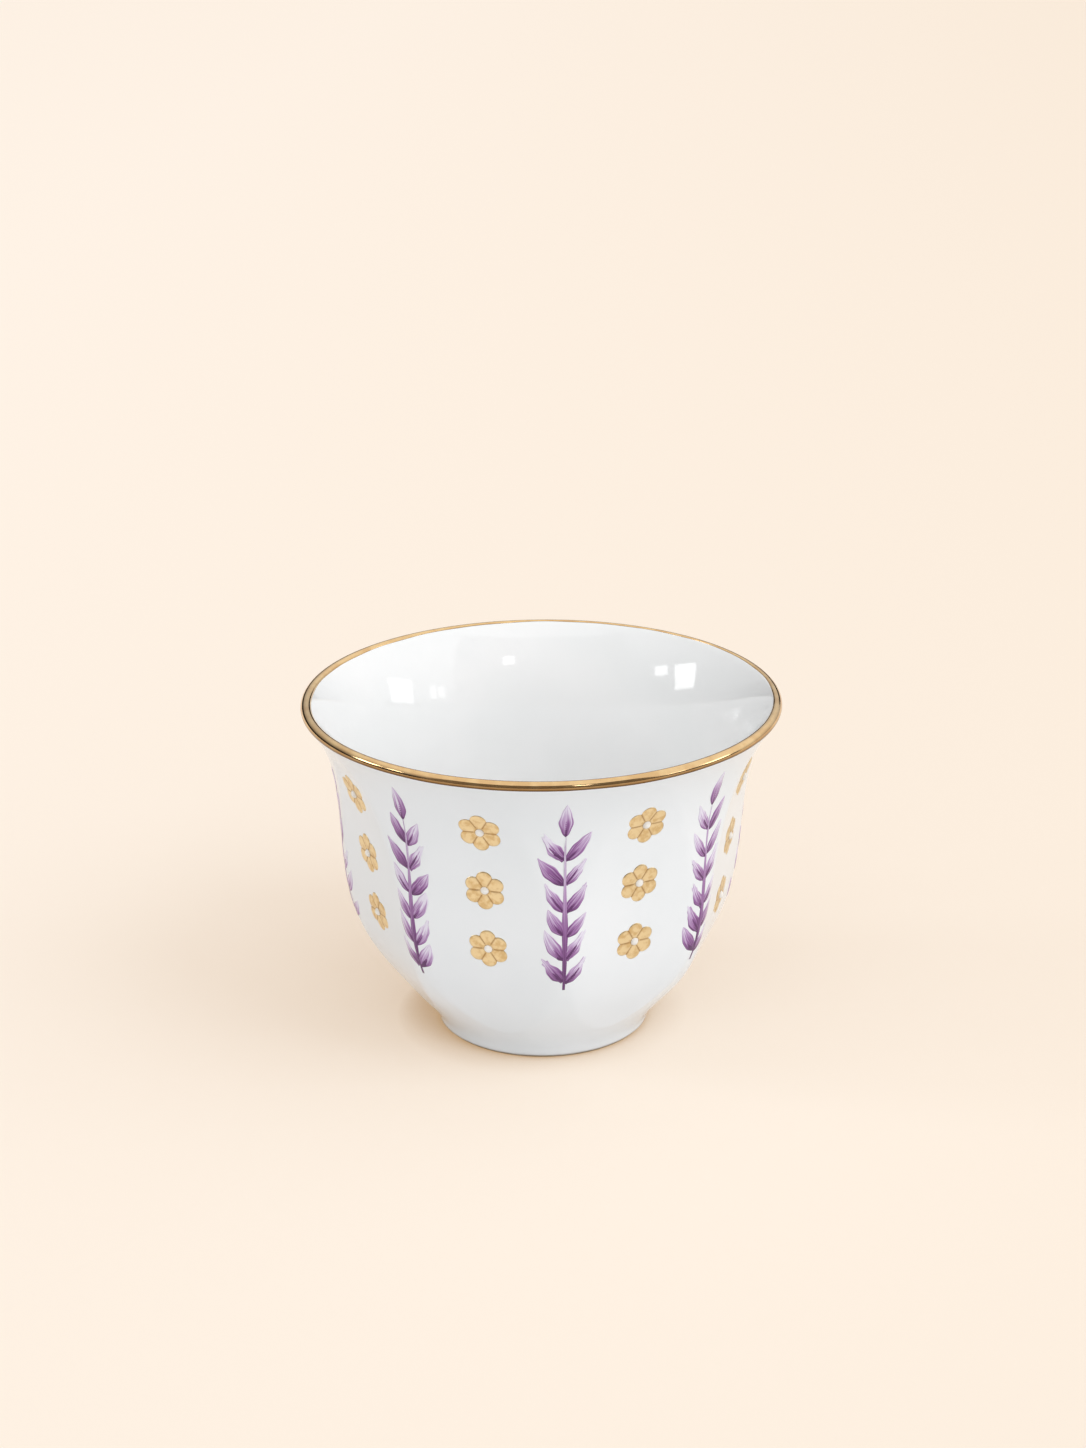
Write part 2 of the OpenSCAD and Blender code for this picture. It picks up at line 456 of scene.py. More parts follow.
@dataclass(frozen=True)
class RaisedEnamel(Finish):
    """Opaque white enamel set as a drop and fired: a small glossy bead."""

    name: str = "white enamel, raised drop"
    white: str = "#F6F1EA"
    cream: str = "#ECE4DA"
    clouds_per_mm: float = 0.9
    roughness: float = 0.08
    ior: float = 1.5

    def surface(self, tree: NodeTree) -> dict:
        """Works out the bead's colour.

        Args:
            tree: the material's node tree.

        Returns:
            The shader's inputs, apart from its roughness.
        """
        stops = ((0.3, self.cream), (0.6, self.white))
        tint = clouded(tree, millimetre_space(tree), self.clouds_per_mm, 2.0, stops)
        return {"Base Color": tint, "IOR": self.ior}


def smooth_mesh(
    name: str, points: np.ndarray, faces: list, paint: np.ndarray | None = None
) -> Object:
    """Makes a smooth-shaded object.

    Args:
        name: the piece's name.
        points: its points in millimetres, one row each.
        faces: its faces as tuples of point numbers.
        paint: a colour for each point that its finish reads, or None.

    Returns:
        The object, linked to the scene.
    """
    mesh = bpy.data.meshes.new(name)
    mesh.from_pydata((points * MM).tolist(), [], faces)
    mesh.polygons.foreach_set("use_smooth", [True] * len(mesh.polygons))
    if paint is not None:
        layer = mesh.attributes.new("paint", "FLOAT_COLOR", "POINT")
        layer.data.foreach_set("color", np.asarray(paint, float).ravel())
    mesh.update()
    piece = bpy.data.objects.new(name, mesh)
    bpy.context.scene.collection.objects.link(piece)
    return piece


def settle(piece: Object, material: Material, slot: Slot, *nodes: str) -> None:
    """Dresses a piece and ties it to the CAD part.

    Args:
        piece: the finished object.
        material: its material.
        slot: the record's slot for its finish; not used.
        *nodes: the CAD nodes that it stands for.
    """
    piece.data.materials.append(material)
    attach(piece, "root")
    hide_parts(*nodes)
    LOG.info("%s: %d faces, for %s", piece.name, len(piece.data.polygons), ", ".join(nodes))


def cubic(points: list, steps: int) -> np.ndarray:
    """Samples a cubic curve.

    Args:
        points: its four points, each out and up.
        steps: how many steps it is cut into.

    Returns:
        steps + 1 points.
    """
    t = np.linspace(0, 1, steps + 1)[:, None]
    a, b, c, d = (np.asarray(p, float) for p in points)
    return (1 - t) ** 3 * a + 3 * (1 - t) ** 2 * t * b + 3 * (1 - t) * t**2 * c + t**3 * d


def moved(line: np.ndarray, t: float) -> np.ndarray:
    """Moves a chain of points sideways, to its right.

    Args:
        line: points, each out and up.
        t: the distance.

    Returns:
        The moved points; those on the axis stay on it.
    """
    way = np.gradient(line, axis=0)
    way[line[:, 0] <= 0, 1] = 0
    right = np.stack([way[:, 1], -way[:, 0]], axis=1)
    return line + t * right / np.linalg.norm(right, axis=1, keepdims=True)


def with_share(line: np.ndarray, share: np.ndarray | float = 0.0) -> np.ndarray:
    """Adds to each point of a section the share of the panels' drop that it takes."""
    return np.column_stack([line, np.zeros(len(line)) + share])


def turned(out: np.ndarray, angle: np.ndarray, up: np.ndarray) -> np.ndarray:
    """Places points round the axis.

    Args:
        out: distances from the axis.
        angle: azimuth in radians from -Y towards +X.
        up: heights.

    Returns:
        The points, x, y and z in the last place.
    """
    return np.stack([out * np.sin(angle), -out * np.cos(angle), up], axis=-1)


def ring_faces(rows: int, count: int, start: int = 0, wrap: bool = False) -> list:
    """Joins rings of points, each to the next.

    Args:
        rows: how many rings there are.
        count: points on each ring.
        start: the first point's number.
        wrap: True if the last ring joins the first.

    Returns:
        The faces.
    """
    faces = []
    for i in range(rows if wrap else rows - 1):
        a, b = start + i * count, start + (i + 1) % rows * count
        for j in range(count):
            k = (j + 1) % count
            faces.append((a + k, b + k, b + j, a + j))
    return faces


def pole_faces(ring: int, count: int, pole: int) -> list:
    """Joins the points of a ring, from its first on, to a middle one."""
    return [(ring + j, ring + (j + 1) % count, pole) for j in range(count)]


def slab_faces(rows: int, columns: int, start: int) -> list:
    """Joins a top grid and the bottom grid after it into a closed slab.

    Args:
        rows: rows of each grid.
        columns: columns of each grid.
        start: the number of the top grid's first point.

    Returns:
        Its faces, facing out.
    """
    size = rows * columns
    faces = []
    for i in range(rows - 1):
        for j in range(columns - 1):
            a = start + i * columns + j
            top = (a, a + 1, a + columns + 1, a + columns)
            faces += [top, tuple(p + size for p in top[::-1])]
    border = [start + j for j in range(columns)]
    border += [start + i * columns + columns - 1 for i in range(1, rows)]
    border += [start + (rows - 1) * columns + j for j in range(columns - 2, -1, -1)]
    border += [start + i * columns for i in range(rows - 2, 0, -1)]
    for a, b in zip(border, border[1:] + border[:1]):
        faces.append((b, a, a + size, b + size))
    return faces


def disc_faces(rings: int, around: int, start: int) -> list:
    """Joins rings of points round a middle into a closed, two-sided disc.

    Args:
        rings: rings on the top; the last is repeated for the underside.
        around: points on each ring.
        start: the middle point's number; the rings follow, then the underside's ring and
            middle.

    Returns:
        Its faces, facing in.
    """
    first = start + 1
    low = first + rings * around
    faces = [face[::-1] for face in ring_faces(rings + 1, around, first)]
    faces += pole_faces(first, around, start)
    return faces + [face[::-1] for face in pole_faces(low, around, low + around)]


@dataclass
class CupForm:
    """The cup's shared shape in millimetres; its rim's width and height are the CAD part's."""

    rim_r: float
    height: float
    lip_t: float = 1.7
    lip_lean: float = 40.0
    belly_d: float = 58.6
    belly_h: float = 26.0
    wall_t: float = 1.9
    floor_t: float = 2.6
    foot_d: float = 31.4
    foot_h: float = 2.4
    foot_flare: float = 0.6
    edge_w: float = 1.6
    edge_round: float = 0.4
    recess_h: float = 2.0
    recess_slope: float = 1.4
    recess_corner: tuple = (0.5, 0.75, 0.3, 0.15)
    panels: int = 8
    panel_depth: float = 1.8
    panel_start: float = 5.5
    panel_fade: float = 2.8
    panel_lead_share: float = 0.5
    ridge_blend: float = 0.4
    # Handles of the curves, as shares of the way or the height between their ends
    foot_handle: tuple = (0.55, 0.37)
    bowl_handle: tuple = (0.915, 0.465)
    flare_handle: float = 0.38
    lip_handle: float = 0.34
    side_handle: float = 0.6
    floor_handle: float = 0.76
    glaze_t: float = 0.25
    wipe_h: float = 0.5
    gilding_t: float = 0.08
    azimuth_steps: int = 384
    curve_steps: int = 64
    # The foot's fillet starts at this share of its side, and ends at this point of the bowl
    fillet_start: float = 0.45
    fillet_end: int = 6
    ridge: np.ndarray = field(init=False)
    inside: np.ndarray = field(init=False)

    def __post_init__(self) -> None:
        """Works out the ridge's and the inside's curves."""
        belly = np.array([self.belly_d / 2, self.belly_h])
        foot_top = np.array([self.foot_d / 2 + self.foot_flare, self.foot_h])
        way = belly - foot_top
        bowl = [
            foot_top, foot_top + way * self.foot_handle, foot_top + way * self.bowl_handle, belly
        ]
        slope = (belly - bowl[2]) / (belly[1] - bowl[2][1])
        lean = math.radians(self.lip_lean)
        out = self.bare_lip_r * np.array([math.cos(lean), -math.sin(lean)])
        edge, inner = self.lip_centre + out, self.lip_centre - out
        handle = np.array([math.sin(lean), math.cos(lean)])
        handle *= self.lip_handle * (self.height - self.belly_h)
        up_edge, up_inner = (self.flare_handle * (p[1] - self.belly_h) for p in (edge, inner))
        flare = [belly, belly + slope * up_edge, edge - handle, edge]
        self.ridge = self.joined(bowl, flare)
        side = np.array([self.belly_d / 2 - self.panel_depth - self.wall_t, self.belly_h])
        floor_z = self.recess_h + self.floor_t
        upper = [inner, inner - handle, side + slope * up_inner, side]
        lower = [
            side,
            side - slope * self.side_handle * (self.belly_h - floor_z),
            np.array([side[0] * self.floor_handle, floor_z]),
            np.array([0.0, floor_z]),
        ]
        self.inside = self.joined(upper, lower)

    def joined(self, first: list, second: list) -> np.ndarray:
        """Samples two cubic curves that meet end to end."""
        return np.vstack([cubic(first, self.curve_steps), cubic(second, self.curve_steps)[1:]])

    @property
    def bare_lip_r(self) -> float:
        """The lip's rounding under its gilding."""
        return self.lip_t / 2 - self.gilding_t

    @property
    def lip_centre(self) -> np.ndarray:
        """The middle of the lip's rounding, out and up."""
        return np.array([self.rim_r - self.lip_t / 2, self.height - self.lip_t / 2])

    @property
    def angles(self) -> np.ndarray:
        """The azimuths of the points round the cup."""
        return np.arange(self.azimuth_steps) * 2 * np.pi / self.azimuth_steps

    def lip(self, angles: np.ndarray, lift: float | np.ndarray = 0.0) -> np.ndarray:
        """Gives points of the rounded lip.

        Args:
            angles: angles in degrees, 0 outwards and 90 up.
            lift: height above the glaze.

        Returns:
            The points, out and up.
        """
        a = np.radians(angles)
        r = (self.bare_lip_r + lift) * np.ones_like(a)
        return self.lip_centre + np.stack([r * np.cos(a), r * np.sin(a)], axis=-1)

    def ridge_r(self, z: np.ndarray | float) -> np.ndarray:
        """Gives the ridges' distance from the axis at a height."""
        return np.interp(z, self.ridge[:, 1], self.ridge[:, 0])

    def panel_share(self, z: np.ndarray) -> np.ndarray:
        """Gives how far the panels have swelled.

        Args:
            z: heights.

        Returns:
            The share at each, from nothing to 1.
        """
        end = self.height - self.panel_fade
        t = np.clip((z - self.panel_start) / (end - self.panel_start), 0, 1)
        return np.sin(np.pi * (t + self.panel_lead_share * t * (1 - t)))

    def drop(self, angle: np.ndarray, z: np.ndarray) -> np.ndarray:
        """Gives how far the panelled outside lies inside the ridges.

        Args:
            angle: azimuth in radians from -Y towards +X.
            z: heights.

        Returns:
            The distance towards the axis at each.
        """
        nothing = 1e-6
        ridge = self.ridge_r(z)
        share = self.panel_share(z)
        step = 2 * np.pi / self.panels
        off = (angle % step) - step / 2
        flat = (ridge - self.panel_depth * share) / np.cos(off)
        blend = self.ridge_blend * share + nothing
        near = np.maximum(blend - np.abs(ridge - flat), 0) / blend
        soft = np.minimum(ridge, flat) - near**2 * blend / 4
        return np.where(share > nothing / 1000, ridge - soft, 0.0)

    def skin(self, angle: np.ndarray, z: np.ndarray, lift: np.ndarray | float) -> np.ndarray:
        """Gives points on the glazed outside.

        Args:
            angle: azimuth in radians from -Y towards +X.
            z: heights.
            lift: height above the glaze.

        Returns:
            The points, one row each.
        """
        nearby = 0.2
        here, above, below = (
            self.ridge_r(h) - self.drop(angle, h) for h in (z, z + nearby, z - nearby)
        )
        rise = (above - below) / (2 * nearby)
        size = np.sqrt(1 + rise**2)
        return turned(here + lift / size, angle, z - lift * rise / size)

    def spun(self, path: np.ndarray) -> tuple[np.ndarray, list]:
        """Spins a path that runs from axis to axis, drawn in by the panels.

        Args:
            path: rows of out, up and the share of the panels' drop that the point takes.

        Returns:
            Points and faces. The faces look to the right of the path's direction, and those
            at its two ends, round the axis, to the left.
        """
        count = self.azimuth_steps
        rows = path[1:-1]
        drops = np.array([self.drop(self.angles, np.full(count, z)) for z in rows[:, 1]])
        up = np.repeat(rows[:, 1:2], count, axis=1)
        points = turned(rows[:, :1] - rows[:, 2:] * drops, self.angles, up).reshape(-1, 3)
        pole = len(points)
        points = np.vstack([points, [0, 0, path[0, 1]], [0, 0, path[-1, 1]]])
        faces = ring_faces(len(rows), count) + pole_faces(0, count, pole)
        faces += [face[::-1] for face in pole_faces(pole - count, count, pole + 1)]
        return points, faces

    def foot_side(self, t: float) -> np.ndarray:
        """Gives the foot ring's outside, from the wiped edge up to the bowl.

        Args:
            t: height above the bare body.

        Returns:
            The points, out and up.
        """
        low = np.array([self.foot_d / 2, self.edge_round])
        corner = np.array([self.foot_d / 2 + self.foot_flare, self.foot_h])
        start = low + (corner - low) * (self.wipe_h - low[1]) / (corner[1] - low[1])
        bend = low + (corner - low) * self.fillet_start
        away = self.ridge[self.fillet_end]
        s = np.linspace(0, 1, 9)[:, None]
        fillet = (1 - s) ** 2 * bend + 2 * s * (1 - s) * corner + s**2 * away
        line = np.vstack([start + (bend - start) * np.linspace(0, 1, 4)[:-1, None], fillet])
        return moved(line, t - self.glaze_t)

    def outer_path(self, t: float, steps: int = 30) -> np.ndarray:
        """Gives the section from the wiped edge over the lip to the floor's middle.

        Args:
            t: height above the bare body.
            steps: steps round the lip.

        Returns:
            Rows of out, up and the panels' share.
        """
        lift = t - self.glaze_t
        side = self.foot_side(t)
        ridge = moved(self.ridge, lift)[self.fillet_end + 1 : -1]
        arc = self.lip(np.linspace(-self.lip_lean, 180 - self.lip_lean, steps), lift)
        inner = moved(self.inside, lift)[1:]
        round_part = np.vstack([arc, inner])
        return np.vstack([with_share(side), with_share(ridge, 1.0), with_share(round_part)])

    def recess(self) -> np.ndarray:
        """Gives the bare recess under the foot.

        Returns:
            Points out and up, from its middle out to the resting edge.
        """
        flat, wide, deep, low = self.recess_corner
        r = self.foot_d / 2 - self.glaze_t - self.edge_w
        start = r - self.recess_slope - flat
        line = [[0.0, self.recess_h], [start, self.recess_h]]
        for a in np.linspace(0, 1, 6)[1:]:
            line.append([start + wide * a, self.recess_h - deep * a**2])
        return np.array(line + [[r - low, self.edge_round + low], [r, self.edge_round]])


@dataclass
class PorcelainBody:
    """The bare porcelain, which shows as the ground edge of the foot."""

    form: CupForm
    finish: BiscuitPorcelain = BiscuitPorcelain()

    def build(self) -> Object:
        """Builds and dresses the body.

        Returns:
            The piece.
        """
        form = self.form
        r = form.foot_d / 2 - form.glaze_t
        e = form.edge_round
        inner = r - form.edge_w
        turn = np.radians(np.linspace(0, 90, 5))
        under = [[r - e + e * math.cos(a), e - e * math.sin(a)] for a in turn]
        under += [[inner + e - e * math.sin(a), e - e * math.cos(a)] for a in turn]
        recess = form.recess()[::-1][1:]
        under = with_share(np.vstack([np.array(under), recess]))
        points, faces = form.spun(np.vstack([form.outer_path(0.0)[::-1], under]))
        piece = smooth_mesh("porcelain_body", points, faces)
        settle(piece, self.finish.material(), Slot.BARE_PORCELAIN, "body")
        return piece


@dataclass
class GlazeCoat:
    """The glaze over the cup, and the glaze in the recess under its foot."""

    form: CupForm
    finish: GlazedPorcelain = GlazedPorcelain()

    def build(self) -> list:
        """Builds and dresses both coats.

        Returns:
            The two pieces.
        """
        form = self.form
        material = self.finish.material()
        coat = form.outer_path(form.glaze_t)[::-1]
        points, faces = form.spun(np.vstack([coat, form.outer_path(0.0)]))
        cup = smooth_mesh("white_glaze", points, faces)
        settle(cup, material, Slot.WHITE_GLAZE, "glaze")
        bare = form.recess()
        top = bare[bare[:, 1] > form.wipe_h]
        line = np.vstack([moved(top, form.glaze_t), top[::-1]])
        points, faces = form.spun(with_share(line)[::-1])
        recess = smooth_mesh("recess_glaze", points, faces)
        settle(recess, material, Slot.WHITE_GLAZE, "foot_glaze")
        return [cup, recess]


@dataclass
class LipGilding:
    """The gold round the lip, brushed on by hand, so its edges waver a little."""

    form: CupForm
    # Where the gold starts outside and ends inside, as angles round the lip
    start: float = -21.0
    end: float = 140.0
    uneven: float = 26.0
    widest: float = -50.0
    waver: float = 2.2
    waves: tuple = (3, 5, 9, 14, 23)
    sunk: float = 0.02
    steps: int = 26
    finish: BrightGold = BrightGold()

    def build(self) -> Object:
        """Builds and dresses the gilding.

        Returns:
            The piece.
        """
        form = self.form
        angles = form.angles
        rng = np.random.default_rng(7)
        waves = np.zeros((2, len(angles)))
        for side in range(2):
            for n in self.waves:
                wave = np.sin(n * angles + rng.uniform(0, 2 * np.pi))
                waves[side] += wave * rng.uniform(0.2, 0.5)
        start = self.start + self.waver * waves[0]
        end = self.end + self.uneven * np.cos(angles - math.radians(self.widest))
        end += self.waver * 1.6 * waves[1]
        share = np.linspace(0, 1, self.steps)
        # The gold thins out over its last sixth or so on both sides
        thick = form.gilding_t * np.minimum(1.0, 0.25 + 6 * np.minimum(share, 1 - share))
        lifts = np.concatenate([thick, np.full(self.steps, -self.sunk)])
        inwards = np.concatenate([share, share[::-1]])
        grid = np.array([form.lip(start + (end - start) * s, t) for s, t in zip(inwards, lifts)])
        points = turned(grid[..., 0], angles, grid[..., 1]).reshape(-1, 3)
        paint = np.column_stack([inwards] * 3 + [np.ones(len(inwards))])
        faces = ring_faces(len(inwards), len(angles), wrap=True)
        piece = smooth_mesh("lip_gilding", points, faces, np.repeat(paint, len(angles), axis=0))
        settle(piece, self.finish.material(), Slot.LIP_GOLD, "rim_gilding")
        return piece


@dataclass(frozen=True)
class Stroke:
    """One brush stroke, laid out on the unrolled outside: across and up, in millimetres."""

    base: tuple[float, float]
    lean: float
    length: float
    width: float
    bend: float
    load: float
    tone: float
    blunt: float = 0.0
    ragged: float = 0.05
    long_steps: int = 18
    cross_steps: int = 8

    def outline(self) -> tuple[np.ndarray, np.ndarray, np.ndarray, np.ndarray]:
        """Lays the stroke out.

        Returns:
            Across and up for a grid of points, and their shares along and across the stroke.
        """
        u = np.linspace(0, 1, self.long_steps + 1)
        v = np.linspace(-1, 1, self.cross_steps + 1)
        heading = np.radians(self.lean + self.bend * u)
        step = self.length / self.long_steps
        x = self.base[0] + np.concatenate([[0], np.cumsum(np.sin(heading[:-1]) * step)])
        z = self.base[1] + np.concatenate([[0], np.cumsum(np.cos(heading[:-1]) * step)])
        swell = np.sin(np.pi * np.clip(u, 0, 1) ** 0.85) ** 0.8
        half = self.width / 2 * np.maximum(swell, self.blunt + 0.04)
        phase = self.load * 40
        uneven = np.sin(9 * u + phase) + np.sin(17 * u + 2 * phase)
        half = (half * (1 + self.ragged * uneven))[:, None] * v
        # A blunt stroke ends round and uneven, as the brush's hairs left the cup one by one
        reach = 1 - self.blunt * (0.35 * v**2 + 0.12 * (1 + np.sin(6 * v + phase)))
        place = u[:, None] * reach
        grid_x = np.interp(place, u, x) + half * np.cos(heading)[:, None]
        grid_z = np.interp(place, u, z) - half * np.sin(heading)[:, None]
        along, across = np.meshgrid(u, v, indexing="ij")
        return grid_x, grid_z, along, across


@dataclass
class LeafSprays:
    """Eight painted leaf sprays, one along each ridge."""

    form: CupForm
    foot: float = 16.5
    gap: float = 4.0
    pairs: int = 6
    leaf_l: float = 5.6
    leaf_w: float = 2.0
    lean: float = 42.0
    stem_w: float = 0.8
    thickness: float = 0.05
    sunk: float = 0.03
    # Each stroke lies a hair above the one before, so none flickers through another
    lowest: float = 0.004
    layer_t: float = 0.0006
    finish: WateryEnamel = WateryEnamel()

    def strokes(self, rng: np.random.Generator) -> list[Stroke]:
        """Lays out one spray's strokes.

        Args:
            rng: the seeded source of the hand's small differences.

        Returns:
            The leaves from the lowest pair up, the top leaf and the stem.
        """
        length, width = self.leaf_l, self.leaf_w
        stem_top = self.form.height - self.gap - length
        first = self.foot + 0.25 * length
        pitch = (stem_top - first) / self.pairs
        found = []
        for i in range(self.pairs):
            for side in (s.value for s in Side):
                start = (0.08 * side, first + i * pitch + rng.uniform(-0.3, 0.3))
                lean = side * (self.lean + rng.uniform(-6, 6))
                long = length * rng.uniform(0.84, 1.04)
                bend = -side * rng.uniform(6, 26)
                wide = width * rng.uniform(0.8, 1.08)
                load = rng.uniform(0, 1)
                wash = rng.uniform(0.02, 0.46)
                blunt = max(0.0, rng.uniform(-0.4, 0.55))
                found.append(Stroke(start, lean, long, wide, bend, load, wash, blunt))
                # A second, shorter touch of the brush deepens the base
                lean += side * rng.uniform(-2, 7)
                share = rng.uniform(0.45, 0.7)
                tone = rng.uniform(0.6, 1.0)
                long, bend, wide = long * share, bend * share, wide * 0.55
                found.append(Stroke(start, lean, long, wide, bend, 1 - load, tone, 0.2))
        top, turn = (0, stem_top), rng.uniform(-4, 4)
        found.append(Stroke(top, turn, length, width, 0, rng.uniform(0, 1), 0.2))
        touch = 0.55 * length
        found.append(Stroke(top, turn, touch, width / 2, 0, rng.uniform(0, 1), 0.6))
        stem = (0, self.foot), 0, stem_top - self.foot + 1, self.stem_w, 0
        found.append(Stroke(*stem, rng.uniform(0, 1), 0.45, 0.45, 0.08, 56, 6))
        return found

    def build(self) -> list:
        """Builds and dresses the sprays.

        Returns:
            The pieces.
        """
        material = self.finish.material()
        pieces = []
        for number in range(self.form.panels):
            rng = np.random.default_rng(100 + number)
            turn = number * 2 * np.pi / self.form.panels
            points, faces, paint = [], [], []
            for layer, stroke in enumerate(self.strokes(rng)):
                x, z, u, v = stroke.outline()
                angle = turn + x / self.form.ridge_r(z)
                ends = np.clip(12 * np.minimum(u, 1 - u), 0, 1)
                top = self.thickness * (1 - v**4) * ends + self.lowest + self.layer_t * layer
                faces += slab_faces(*x.shape, sum(len(p) for p in points))
                for lift in (top, -self.sunk):
                    points.append(self.form.skin(angle, z, lift).reshape(-1, 3))
                load, tone = np.full_like(u, stroke.load), np.full_like(u, stroke.tone)
                marks = np.stack([u, (v + 1) / 2, load, tone], -1)
                paint += [marks.reshape(-1, 4)] * 2
            name = f"leaf_spray_{number + 1}"
            piece = smooth_mesh(f"painted_{name}", np.vstack(points), faces, np.vstack(paint))
            settle(piece, material, Slot.PURPLE_ENAMEL, name)
            pieces.append(piece)
        return pieces


@dataclass
class Rosettes:
    """Eight columns of gold rosettes in relief, one down each panel, with raised beads."""

    form: CupForm
    rows: int = 3
    low: float = 22.5
    gap: float = 9.5
    across: float = 6.0
    petals: int = 6
    petal_d: float = 2.3
    gold_t: float = 0.12
    crease_w: float = 0.16
    sunk: float = 0.03
    bead_d: float = 1.2
    bead_h: float = 0.4
    # How high a bead's base lies above the glaze, and how far its underside does
    bead_base: float = 0.096
    bead_under: float = 0.01
    rings: int = 16
    around: int = 96
    bead_rings: int = 9
    bead_around: int = 28
    gold: SatinGold = SatinGold()
    bead: RaisedEnamel = RaisedEnamel()

    @property
    def reach(self) -> float:
        """How far the petals' middles lie from the rosette's."""
        return (self.across - self.petal_d) / 2

    def relief(
        self, x: np.ndarray, y: np.ndarray, share: np.ndarray
    ) -> tuple[np.ndarray, np.ndarray]:
        """Models the petals.

        Args:
            x: places across.
            y: places up, from the rosette's middle.
            share: how near each place is to the rosette's edge, 1 at the edge.

        Returns:
            Heights above the glaze, and how brown the gold is at each place.
        """
        turn = 2 * np.pi / self.petals
        angle = (np.arctan2(x, y) + turn / 2) % turn - turn / 2
        radius = np.hypot(x, y)
        off = np.hypot(radius * np.cos(angle) - self.reach, radius * np.sin(angle))
        dome = np.sqrt(np.clip(1 - (off / (self.petal_d / 2)) ** 2, 0, 1))
        seam = np.abs(np.abs(angle) - turn / 2) * radius / self.crease_w
        crease = np.clip(1 - seam, 0, 1) * (radius > 0.8)
        from_bead = radius - self.bead_d / 2
        ring = np.exp(-(((from_bead - 0.12) / 0.1) ** 2))
        edge = np.clip((share - 0.9) / 0.1, 0, 1)
        height = self.gold_t * (0.35 + 0.65 * dome) * (1 - 0.75 * crease)
        height = np.maximum(height * (1 - 0.85 * edge**2), self.gold_t * ring * 0.9)
        # Painted shade: the gold browns in the creases and in a ring round the bead's foot
        brown = np.clip(0.75 * crease + 0.8 * np.exp(-((from_bead / 0.08) ** 2)), 0, 1)
        return height, brown

    def laid(self, turn: float, z0: float, grid: tuple, lifts: tuple) -> np.ndarray:
        """Lays a closed disc of rings on the panel.

        Args:
            turn: azimuth of its middle.
            z0: height of its middle.
            grid: places across and up for its rings, from the middle outwards.
            lifts: heights above the glaze of its middle, its rings and its underside.

        Returns:
            Its points: the middle, the rings, the underside's ring and its middle.
        """
        x, y = (np.concatenate([[0], g.ravel(), g[-1], [0]]) for g in grid)
        middle, rings, under = lifts
        under = np.full(grid[0].shape[1] + 1, under)
        lift = np.concatenate([[middle], rings.ravel(), under])
        radius = self.form.ridge_r(z0) - self.form.panel_depth
        return self.form.skin(turn + x / radius, z0 + y, lift)

    def rosette(self, turn: float, z0: float, start: int, rng: np.random.Generator) -> tuple:
        """Builds one rosette.

        Args:
            turn: azimuth of its middle.
            z0: height of its middle.
            start: number of its first point.
            rng: the seeded source of the hand's small differences.

        Returns:
            Points, faces and paint.
        """
        psi = np.arange(self.around) * 2 * np.pi / self.around
        step = 2 * np.pi / self.petals
        fold = (psi + step / 2) % step - step / 2
        half = np.maximum((self.petal_d / 2) ** 2 - (self.reach * np.sin(fold)) ** 2, 0)
        edge = self.reach * np.cos(fold) + np.sqrt(half)
        edge *= 1 + 0.015 * np.sin(2 * psi + rng.uniform(0, 6))
        share = np.linspace(0, 1, self.rings + 1)[1:, None]
        x, y = share * edge * np.sin(psi), share * edge * np.cos(psi)
        height, brown = self.relief(x, y, np.repeat(share, self.around, 1))
        points = self.laid(turn, z0, (x, y), (0.4 * self.gold_t, height, -self.sunk))
        # The paint's green carries the painted shade of the creases and the bead's ring
        tone = np.concatenate([[0], brown.ravel(), np.zeros(self.around + 1)])
        nothing = np.zeros_like(tone)
        paint = np.stack([nothing, tone, nothing, nothing + 1], -1)
        return points, disc_faces(self.rings, self.around, start), paint

    def drop(self, turn: float, z0: float, start: int) -> tuple:
        """Builds one bead.

        Args:
            turn: azimuth of its middle.
            z0: height of its middle.
            start: number of its first point.

        Returns:
            Points and faces.
        """
        around, rings = self.bead_around, self.bead_rings
        ball = ((self.bead_d / 2) ** 2 + self.bead_h**2) / (2 * self.bead_h)
        full = math.asin(self.bead_d / 2 / ball)
        tilt = np.linspace(0, full, rings + 1)[1:, None]
        psi = np.arange(around) * 2 * np.pi / around
        x, y = ball * np.sin(tilt) * np.sin(psi), ball * np.sin(tilt) * np.cos(psi)
        height = np.repeat(ball * np.cos(tilt) - (ball - self.bead_h), around, 1)
        lifts = self.bead_h + self.bead_base, height + self.bead_base, self.bead_under
        return self.laid(turn, z0, (x, y), lifts), disc_faces(rings, around, start)

    def build(self) -> list:
        """Builds and dresses the rosettes and beads.

        Returns:
            The pieces.
        """
        gold, enamel = self.gold.material(), self.bead.material()
        heights = np.linspace(self.low, self.form.height - self.gap, self.rows)
        pieces = []
        for number in range(self.form.panels):
            rng = np.random.default_rng(500 + number)
            turn = (number + 0.5) * 2 * np.pi / self.form.panels
            flowers, petals, paint, beads, caps = [], [], [], [], []
            for z0 in heights:
                points, faces, marks = self.rosette(turn, z0, sum(map(len, flowers)), rng)
                flowers.append(points)
                petals += faces
                paint.append(marks)
                points, faces = self.drop(turn, z0, sum(map(len, beads)))
                beads.append(points)
                caps += faces
            name = f"rosette_column_{number + 1}"
            piece = smooth_mesh(f"gold_{name}", np.vstack(flowers), petals, np.vstack(paint))
            settle(piece, gold, Slot.ROSETTE_GOLD, name)
            name = f"bead_column_{number + 1}"
            bead = smooth_mesh(f"enamel_{name}", np.vstack(beads), caps)
            settle(bead, enamel, Slot.WHITE_ENAMEL, name)
            pieces += [piece, bead]
        return pieces


def direction(turn: float, rise: float) -> Vector:
    """Points from the cup to a place in the studio.

    Args:
        turn: azimuth from -Y towards +X, in degrees.
        rise: height above the horizon, in degrees.

    Returns:
        The unit vector.
    """
    a, e = math.radians(turn), math.radians(rise)
    return Vector((math.sin(a) * math.cos(e), -math.cos(a) * math.cos(e), math.sin(e)))


